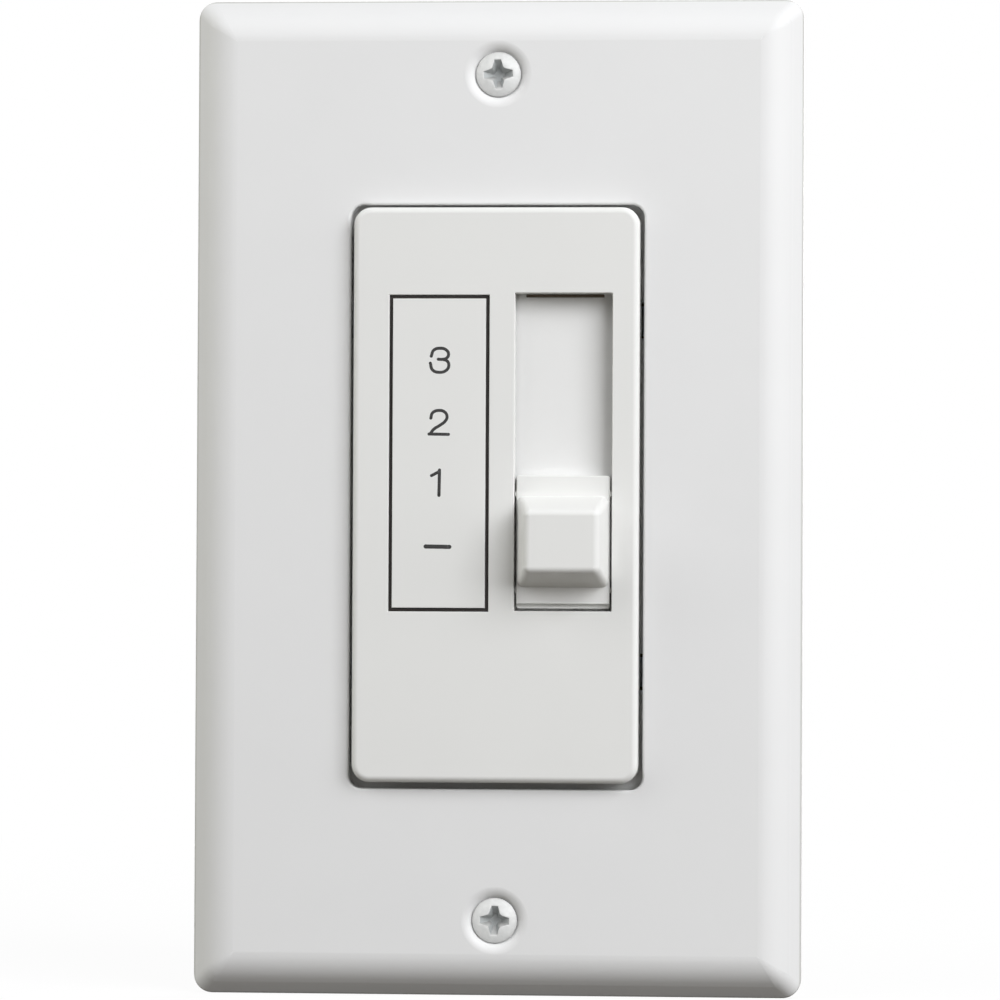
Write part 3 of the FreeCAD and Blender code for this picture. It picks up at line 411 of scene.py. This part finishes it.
bmesh.ops.translate(build, verts=deep, vec=(0, shadeBead["thick"] * mm, 0))
bmesh.ops.recalc_face_normals(build, faces=build.faces)
crest = [e for e in build.edges if not any(v in deep for v in e.verts)
         and any(abs(f.normal.y) < shadeBead["wallLimit"] for f in e.link_faces)]
bmesh.ops.bevel(build, geom=crest, offset=shadeBead["round"] * mm, segments=4, **roundOff)
for f in build.faces:
    f.smooth = True
addPiece("legend_shade_bead", build, "beadShadeFoam", "body")

# Slit shade: a brown strip set in the slit at the top of the floor, whose colour is painted shade for the
# slit
slitShade = {"wide": 8.94, "high": 0.36, "drop": 4.19, "below": 0.1, "thick": 0.8, "round": 0.09}
low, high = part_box("slide_floor")
build = bmesh.new()
bmesh.ops.create_cube(build, size=mm)
bmesh.ops.scale(build, verts=build.verts, vec=(slitShade["wide"], slitShade["thick"], slitShade["high"]))
bmesh.ops.bevel(build, geom=build.edges[:], offset=slitShade["round"] * mm, segments=3, **roundOff)
middle = ((low.x + high.x) / 2, low.y + (slitShade["below"] + slitShade["thick"] / 2) * mm, high.z - slitShade["drop"] * mm)
bmesh.ops.translate(build, verts=build.verts, vec=middle)
addPiece("slit_shade_strip", build, "shadedSlitFibres", "body")
print("fillings: a seal round the insert and a felt strip in the slit")

# Plate screws: oval heads with a driven-in cross and a rolled thread. Profile and ridge give radius and
# height, the cross's two ends give height and scale, and each place gives z and turn
plateScrews = {
    "profile": [(0, 0.65), (0.7, 0.608), (1.4, 0.482), (2.0, 0.303), (2.36, 0.16), (2.52, 0.08), (2.58, 0.01),
                (2.56, -0.05), (1.64, -0.96), (1.36, -1.3), (1.36, -12.2), (0.95, -12.7), (0, -12.7)],
    "steps": 64, "domeRadius": 5.93, "weld": 0.0001,
    "crossReach": 1.74, "crossTip": 0.76, "crossShoulder": 1.26, "crossCorner": 0.26, "crossBase": 0.303,
    "crossTop": (0.8, 1.3), "crossEnd": (-1.2, 0.4),
    "lipRound": 0.05, "lipTurn": 34.4, "lipHeight": 0.3,
    "recessReach": 2.0, "recessFoot": -1.2, "recessSkin": 0.06, "recessLit": 0.5,
    "ridge": [(1.3, -0.35), (1.69, -0.05), (1.69, 0.05), (1.3, 0.35)],
    "pitch": 0.794, "turns": 13, "turnSteps": 24, "threadStart": -1.75,
    "rimY": -5.25, "places": [(48.42, -3.0), (-48.42, 2.0)], "sharp": 35, "digits": 5,
}


def crossCutter():
    # Five of a grid's nine unit faces make a plus, drawn down to a smaller one, with rounded inner corners
    build = bmesh.new()
    bmesh.ops.create_grid(build, x_segments=3, y_segments=3, size=1.5)
    reach, tip = plateScrews["crossReach"], plateScrews["crossTip"] / 2
    shoulder = plateScrews["crossShoulder"] / 2
    same = plateScrews["weld"]
    corners = [v for v in build.verts if abs(v.co.x) > 1 and abs(v.co.y) > 1]
    bmesh.ops.delete(build, geom=corners, context="VERTS")
    for v in build.verts:
        alongX, alongY = abs(v.co.x) > 1, abs(v.co.y) > 1
        wide = tip if alongX or alongY else shoulder
        v.co.x = math.copysign(reach if alongX else wide, v.co.x)
        v.co.y = math.copysign(reach if alongY else wide, v.co.y)
    start = build.verts[:]
    drawn = bmesh.ops.extrude_face_region(build, geom=build.faces[:])["geom"]
    deep = [v for v in drawn if isinstance(v, bmesh.types.BMVert)]
    for ends, (height, size) in ((start, plateScrews["crossTop"]), (deep, plateScrews["crossEnd"])):
        bmesh.ops.scale(build, verts=ends, vec=(size, size, 1))
        bmesh.ops.translate(build, verts=ends, vec=(0, 0, height))
    inner = [e for e in build.edges if all(abs(abs(v.co.x) - abs(v.co.y)) < same for v in e.verts)
             and abs(e.verts[0].co.z - e.verts[1].co.z) > same]
    bmesh.ops.bevel(build, geom=inner, offset=plateScrews["crossCorner"], segments=3, **roundOff)
    bmesh.ops.recalc_face_normals(build, faces=build.faces)
    bmesh.ops.rotate(build, verts=build.verts, matrix=Matrix.Rotation(math.radians(90), 3, "X"))
    bmesh.ops.translate(build, verts=build.verts, vec=(0, -plateScrews["crossBase"], 0))
    return build


def onLip(edge):
    # Where the cross breaks through the dome
    return (edge.is_manifold and edge.calc_face_angle() > math.radians(plateScrews["lipTurn"])
            and all(-v.co.y > plateScrews["lipHeight"] for v in edge.verts)
            and all(math.hypot(v.co.x, v.co.z) < plateScrews["recessReach"] for v in edge.verts))


def inRecess(place):
    # Near the axis, above the shank and below the dome's own surface
    reach, height = math.hypot(place.x, place.z), -place.y
    if reach >= plateScrews["recessReach"] or height <= plateScrews["recessFoot"]:
        return False
    domeTop, ball = plateScrews["profile"][0][1], plateScrews["domeRadius"]
    return height < domeTop - ball + math.sqrt(ball ** 2 - reach ** 2) - plateScrews["recessSkin"]


def inOrder(build):
    # The same mesh, rounded off and with a fixed order, which cuts and bevels don't keep from run to run
    for v in build.verts:
        v.co = [round(c, plateScrews["digits"]) for c in v.co]
    fixed = sorted(build.verts, key=lambda v: tuple(v.co))
    for place, v in enumerate(fixed):
        v.index = place
    outlines = []
    for f in build.faces:
        corners = [v.index for v in f.verts]
        first = corners.index(min(corners))
        outlines.append(corners[first:] + corners[:first])
    ordered = bmesh.new()
    points = [ordered.verts.new(v.co) for v in fixed]
    for corners in sorted(outlines):
        ordered.faces.new([points[i] for i in corners])
    ordered.normal_update()
    build.free()
    return ordered


build = bmesh.new()
ring = [build.verts.new((r, -h, 0)) for r, h in plateScrews["profile"]]
edges = [build.edges.new(pair) for pair in zip(ring, ring[1:])]
bmesh.ops.spin(build, geom=ring + edges, axis=(0, 1, 0), cent=(0, 0, 0), angle=2 * math.pi,
               steps=plateScrews["steps"], use_merge=True)
bmesh.ops.remove_doubles(build, verts=build.verts, dist=plateScrews["weld"])
bmesh.ops.recalc_face_normals(build, faces=build.faces)
blank = addObject("screwBlank", meshFrom("screwBlank", build))
cutter = addObject("crossCutter", meshFrom("crossCutter", crossCutter()))
cut = blank.modifiers.new("cross", "BOOLEAN")
cut.object = cutter
cut.operation = "DIFFERENCE"
driven = bpy.data.meshes.new_from_object(blank.evaluated_get(bpy.context.evaluated_depsgraph_get()))
bpy.data.objects.remove(blank)
bpy.data.objects.remove(cutter)
build = bmesh.new()
build.from_mesh(driven)
build = inOrder(build)
lip = [e for e in build.edges if onLip(e)]
bmesh.ops.bevel(build, geom=lip, offset=plateScrews["lipRound"], segments=2, **roundOff)
corners = [build.verts.new((r, -h - plateScrews["threadStart"], 0)) for r, h in plateScrews["ridge"]]
ridge = build.faces.new(corners)
bmesh.ops.spin(build, geom=corners + ridge.edges[:] + [ridge], axis=(0, 1, 0), cent=(0, 0, 0),
               dvec=(0, plateScrews["pitch"] / plateScrews["turnSteps"], 0),
               angle=2 * math.pi * plateScrews["turns"],
               steps=plateScrews["turnSteps"] * plateScrews["turns"])
build = inOrder(build)
for f in build.faces:
    f.smooth = True
    paintedShade = inRecess(f.calc_center_median()) and f.normal.z < plateScrews["recessLit"]
    f.material_index = 1 if paintedShade else 0  # painted shade: recess faces take the darker zinc, walls that face up keep the bright zinc as if lit from above
bmesh.ops.scale(build, verts=build.verts, vec=(mm, mm, mm))
oneScrew = meshFrom("screw", build)
pair = bmesh.new()
for z, angle in plateScrews["places"]:
    before = len(pair.verts)
    pair.from_mesh(oneScrew)
    pair.verts.ensure_lookup_table()
    fresh = pair.verts[before:]
    bmesh.ops.rotate(pair, verts=fresh, matrix=Matrix.Rotation(math.radians(angle), 3, "Y"))
    bmesh.ops.translate(pair, verts=fresh, vec=(0, plateScrews["rimY"] * mm, z * mm))
bmesh.ops.recalc_face_normals(pair, faces=pair.faces)
screws = addPiece("plate_screw_pair", pair, "zincPlate", "body")
# The second slot holds the darker zinc, painted as shade in the recess
screws.data.materials.append(finishes["zincPaintedShade"])
screws.data.set_sharp_from_angle(angle=math.radians(plateScrews["sharp"]))
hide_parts("plate_screws")
print("screws:", len(screws.data.polygons), "faces")

# Camera: fitted to the edges of the plate and the cover in the photograph
view = {"place": (47.7, -612.6, -12.3), "yaw": 4.453, "pitch": 91.122, "roll": 0.272, "lens": 191.7,
        "sensor": 36.0, "nearest": 10}
camera = bpy.data.cameras.new("photoCamera")
camera.lens = view["lens"]
camera.sensor_width = view["sensor"]
camera.clip_start = view["nearest"] * mm
eye = addObject("photoCamera", camera)
yaw, pitch, roll = [Matrix.Rotation(math.radians(view[angle]), 4, axis)
                    for angle, axis in (("yaw", "Z"), ("pitch", "X"), ("roll", "Z"))]
eye.matrix_world = Matrix.Translation(Vector(view["place"]) * mm) @ yaw @ pitch @ roll
scene.camera = eye
print("camera: lens", view["lens"], "mm at", view["place"])

# Soft boxes: where each hangs (degrees round from the front to the right, degrees up), how far off and how
# wide in metres, and how strong
lamps = {
    "keyRight": {"round": 40, "up": 26.5, "far": 1.0, "wide": 0.7, "watts": 10.55, "colour": "#fcfdff"},
    "sideRight": {"round": 75, "up": 12, "far": 1.0, "wide": 0.7, "watts": 2.5, "colour": "#ffffff"},
    "frontLeft": {"round": -50, "up": 35, "far": 1.0, "wide": 0.7, "watts": 3.55, "colour": "#ffffff"},
    "fillLeft": {"round": -90, "up": 10, "far": 1.0, "wide": 0.7, "watts": 3.55, "colour": "#fefff4"},
    "behind": {"round": 165, "up": 22, "far": 1.2, "wide": 0.8, "watts": 12.0, "colour": "#ffffff"},
}
for name, lamp in lamps.items():
    light = bpy.data.lights.new(name, "AREA")
    light.size = lamp["wide"]
    light.energy = lamp["watts"]
    light.color = toLinear(lamp["colour"])[:3]
    holder = addObject(name, light)
    across = math.radians(lamp["round"])
    above = math.radians(lamp["up"])
    level = math.cos(above)
    towards = Vector((math.sin(across) * level, -math.cos(across) * level, math.sin(above)))
    holder.location = towards * lamp["far"]
    holder.rotation_euler = towards.to_track_quat("Z", "Y").to_euler()
print("lamps:", len(lamps))

# Floor and backdrop: pale to the eye and in reflections, dim as a source of bounced light. Lengths in metres
surround = {"floorSize": 1.6, "floorSides": 96, "pale": "#fbfbfb", "dim": "#484133", "eyeShare": 0.93,
            "shadowReach": (0.1, 0.4), "ambient": "#fcfdf8", "ambientLevel": 0.02, "white": "#ffffff"}
white = toLinear(surround["white"])


def seenShare(tree):
    # 1 for rays from the eye, off a gloss or through something clear, 0 for light that bounces about
    path = addNode(tree, "ShaderNodeLightPath")
    seen = path.outputs["Is Camera Ray"]
    for kind in ("Is Glossy Ray", "Is Transmission Ray"):
        either = addNode(tree, "ShaderNodeMath", links={0: seen, 1: path.outputs[kind]}, operation="MAXIMUM")
        seen = either.outputs[0]
    return seen


floorMaterial = bpy.data.materials.new("paleFloor")
floorMaterial.use_nodes = True
tree = floorMaterial.node_tree
tree.nodes.clear()
seen = seenShare(tree)
tone = addNode(tree, "ShaderNodeMixRGB",
               {"Color1": toLinear(surround["dim"]), "Color2": toLinear(surround["pale"])}, {"Fac": seen})
matt = addNode(tree, "ShaderNodeBsdfDiffuse", links={"Color": tone.outputs["Color"]})
glow = addNode(tree, "ShaderNodeEmission", {"Color": white, "Strength": 1.0})
spot = addNode(tree, "ShaderNodeTexCoord").outputs["Object"]
distance = addNode(tree, "ShaderNodeVectorMath", links={0: spot}, operation="LENGTH")
nearest, farthest = surround["shadowReach"]
fade = addNode(tree, "ShaderNodeMapRange",
               {"From Min": nearest, "From Max": farthest, "To Min": surround["eyeShare"], "To Max": 1.0},
               {"Value": distance.outputs["Value"]})
share = addNode(tree, "ShaderNodeMath", links={0: seen, 1: fade.outputs["Result"]}, operation="MULTIPLY")
blend = addNode(tree, "ShaderNodeMixShader",
                links={0: share.outputs[0], 1: matt.outputs["BSDF"], 2: glow.outputs["Emission"]})
addNode(tree, "ShaderNodeOutputMaterial", links={"Surface": blend.outputs["Shader"]})
build = bmesh.new()
bmesh.ops.create_circle(build, cap_ends=True, segments=surround["floorSides"], radius=surround["floorSize"])
bmesh.ops.translate(build, verts=build.verts, vec=(0, 0, cadBox[0].z))
floor = addObject("floor", meshFrom("floor", build))
floor.data.materials.append(floorMaterial)

world = bpy.data.worlds.new("studio")
scene.world = world
world.use_nodes = True
tree = world.node_tree
tree.nodes.clear()
seen = seenShare(tree)
tint = addNode(tree, "ShaderNodeMixRGB", {"Color1": toLinear(surround["ambient"]), "Color2": white},
               {"Fac": seen})
level = addNode(tree, "ShaderNodeMapRange", {"To Min": surround["ambientLevel"], "To Max": 1.0},
                {"Value": seen})
sky = addNode(tree, "ShaderNodeBackground",
              links={"Color": tint.outputs["Color"], "Strength": level.outputs["Result"]})
addNode(tree, "ShaderNodeOutputWorld", links={"Surface": sky.outputs["Background"]})
scene.view_settings.view_transform = "Standard"
print("stage: floor and backdrop")
